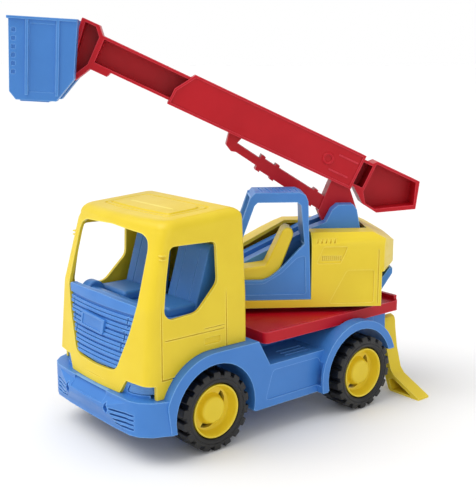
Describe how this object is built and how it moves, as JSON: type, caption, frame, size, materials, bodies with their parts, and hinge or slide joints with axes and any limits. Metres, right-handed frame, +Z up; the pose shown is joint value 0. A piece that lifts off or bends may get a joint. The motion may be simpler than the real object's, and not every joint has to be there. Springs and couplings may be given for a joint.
{
  "type": "toy lift truck",
  "caption": "Toy truck with an open cab, a turning operator's cabin, a raised telescopic boom with a tilting basket, and swing-out rear outriggers.",
  "frame": {"origin": "middle of the bounding box in plan, on the floor", "axes": "+Z up, -Y towards the truck's front bumper, +X towards the truck's left side"},
  "size_m": [0.242, 0.2882, 0.3076],
  "materials": {
    "yellow_plastic": "moulded, satin, fine grain",
    "blue_plastic": "moulded, satin, fine grain",
    "red_plastic": "moulded, satin, fine grain",
    "black_plastic": "moulded, matt",
    "steel": "bright drawn wire"
  },
  "bodies": {
    "chassis": {"chassis": "blue_plastic", "cab_shell": "yellow_plastic", "grille": "blue_plastic", "cab_interior": "blue_plastic", "deck": "red_plastic"},
    "front_wheels": {"front_axle": "steel", "front_left_rim": "yellow_plastic", "front_left_tyre": "black_plastic", "front_right_rim": "yellow_plastic", "front_right_tyre": "black_plastic"},
    "rear_wheels": {"rear_axle": "steel", "rear_left_rim": "yellow_plastic", "rear_left_tyre": "black_plastic", "rear_right_rim": "yellow_plastic", "rear_right_tyre": "black_plastic"},
    "upper": {"upper_frame": "blue_plastic", "upper_cover": "yellow_plastic", "operator_seat": "yellow_plastic", "slew_washer": "steel", "slew_screw": "steel", "boom_pin": "steel"},
    "boom": {"boom_outer_left": "red_plastic", "boom_outer_right": "red_plastic"},
    "telescope": {"boom_inner": "red_plastic"},
    "basket": {"basket": "blue_plastic", "basket_pin": "steel"},
    "outrigger_left": {"outrigger_left": "yellow_plastic", "outrigger_pin_left": "steel"},
    "outrigger_right": {"outrigger_right": "yellow_plastic", "outrigger_pin_right": "steel"}
  },
  "joints": [
    {"name": "front_wheels_roll", "type": "hinge", "parent": "chassis", "child": "front_wheels", "pos_m": [0.02202, -0.07708, 0.03], "axis": [1, 0, 0], "continuous": true},
    {"name": "rear_wheels_roll", "type": "hinge", "parent": "chassis", "child": "rear_wheels", "pos_m": [0.02202, 0.06292, 0.03], "axis": [1, 0, 0], "continuous": true},
    {"name": "slew", "type": "hinge", "parent": "chassis", "child": "upper", "pos_m": [0.02202, 0.04692, 0.081], "axis": [0, 0, 1], "range_deg": [-90, 150]},
    {"name": "boom_lift", "type": "hinge", "parent": "upper", "child": "boom", "pos_m": [0.0507, 0.08788, 0.147], "axis": [-0.8191, 0.5736, 0], "range_deg": [-10, 20]},
    {"name": "boom_extend", "type": "slide", "parent": "boom", "child": "telescope", "axis": [-0.519, -0.7412, 0.4258], "range_m": [-0.049, 0]},
    {"name": "basket_tilt", "type": "hinge", "parent": "telescope", "child": "basket", "pos_m": [-0.0764, -0.09364, 0.27968], "axis": [-0.8191, 0.5736, 0], "range_deg": [-20, 20]},
    {"name": "outrigger_left_swing", "type": "hinge", "parent": "chassis", "child": "outrigger_left", "pos_m": [0.07702, 0.10992, 0.058], "axis": [0, -1, 0], "range_deg": [0, 90]},
    {"name": "outrigger_right_swing", "type": "hinge", "parent": "chassis", "child": "outrigger_right", "pos_m": [-0.03298, 0.10992, 0.058], "axis": [0, 1, 0], "range_deg": [0, 90]}
  ]
}
